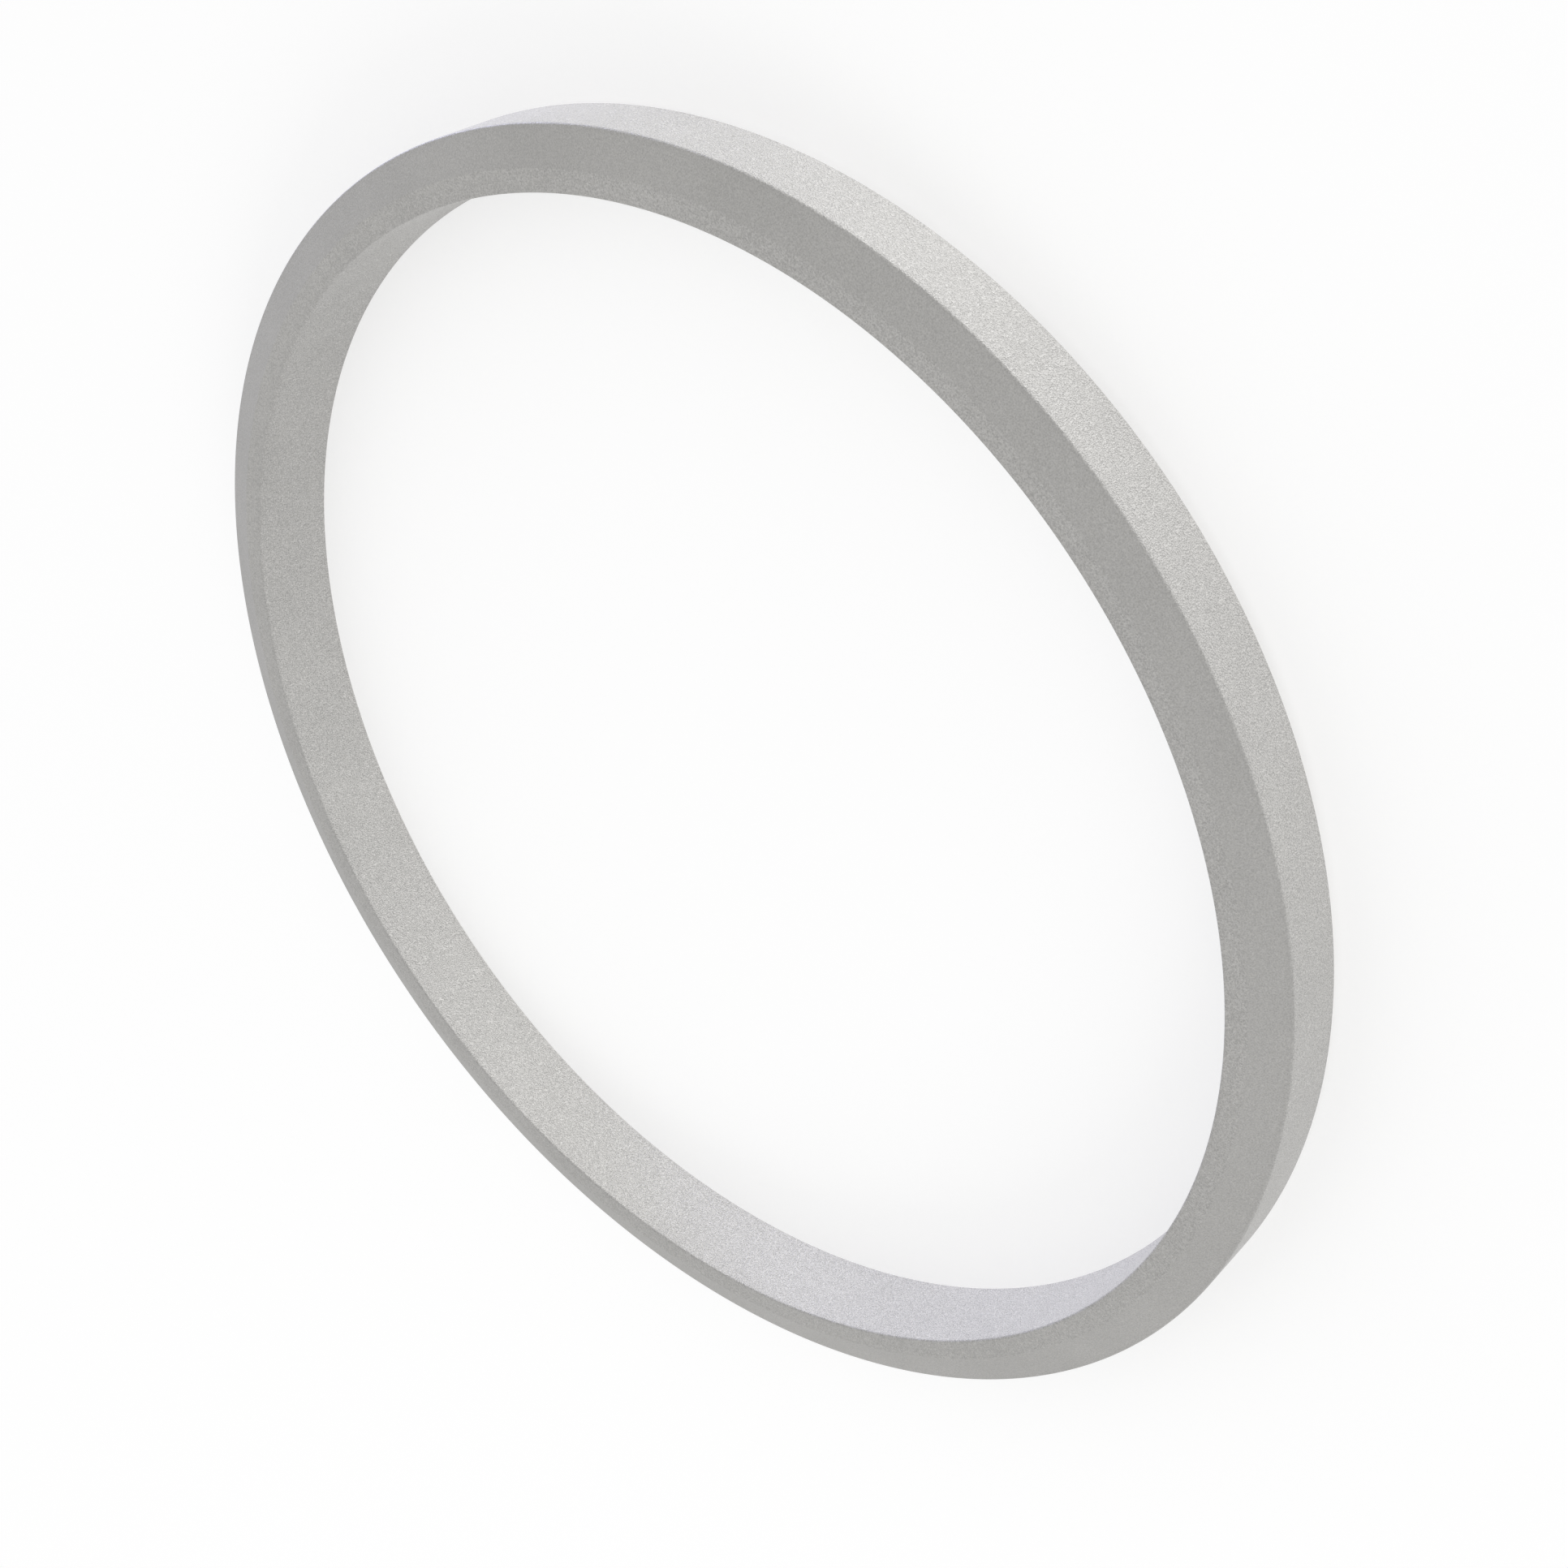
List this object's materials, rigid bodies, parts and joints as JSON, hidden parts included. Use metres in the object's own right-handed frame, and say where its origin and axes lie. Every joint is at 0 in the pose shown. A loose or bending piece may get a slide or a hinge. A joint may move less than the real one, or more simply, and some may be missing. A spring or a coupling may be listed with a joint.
{
  "type": "packing seal",
  "caption": "One-piece moulded packing seal: a slim round ring with a straight bore, a flat land and a shallow bevel on each side, and a straight outer wall.",
  "frame": {"origin": "centre of the lower flat land, on the ring's own axis", "axes": "+Z along the ring's axis, out of the bore; the ring is round and the same both ways up, so +X and +Y are free"},
  "size_m": [0.118, 0.118, 0.0082],
  "materials": {
    "grey_rubber": "matte"
  },
  "bodies": {
    "root": {"seal_ring": "grey_rubber"}
  },
  "joints": []
}
